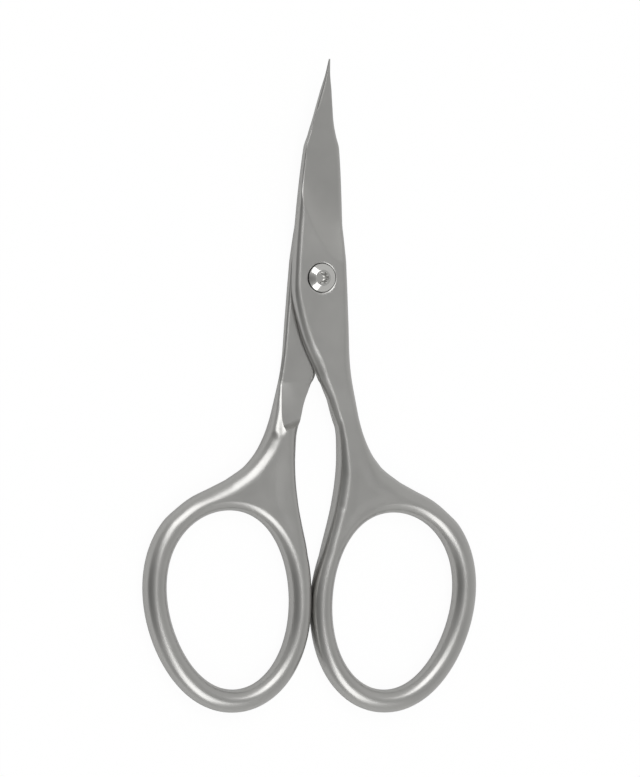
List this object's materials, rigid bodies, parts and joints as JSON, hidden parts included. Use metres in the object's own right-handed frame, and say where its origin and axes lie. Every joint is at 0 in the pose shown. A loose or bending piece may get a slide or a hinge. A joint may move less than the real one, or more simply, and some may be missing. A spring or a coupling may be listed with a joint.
{
  "type": "nail scissors",
  "caption": "Slim nail scissors with upward-curved tower points, lapped halves on a raised screw and egg-shaped finger rings.",
  "frame": {"origin": "pivot axis, on the surface that the closed pair lies on", "axes": "+X towards the front half's finger ring, +Y towards the tips, +Z away from the resting surface, out of the screw's head"},
  "size_m": [0.0492, 0.0895, 0.0049],
  "materials": {
    "satin_steel": "fine satin, evenly blasted",
    "polished_steel": "bright polished",
    "washer_polymer": "matte, dark"
  },
  "bodies": {
    "back_body": {"back_half": "satin_steel", "pivot_screw": "polished_steel", "slide_washer": "washer_polymer"},
    "front_body": {"front_half": "satin_steel"}
  },
  "joints": [
    {"name": "blade_pivot", "type": "hinge", "parent": "back_body", "child": "front_body", "pos_m": [0, 0, 0], "axis": [0, 0, 1], "range_deg": [0, 130]}
  ]
}
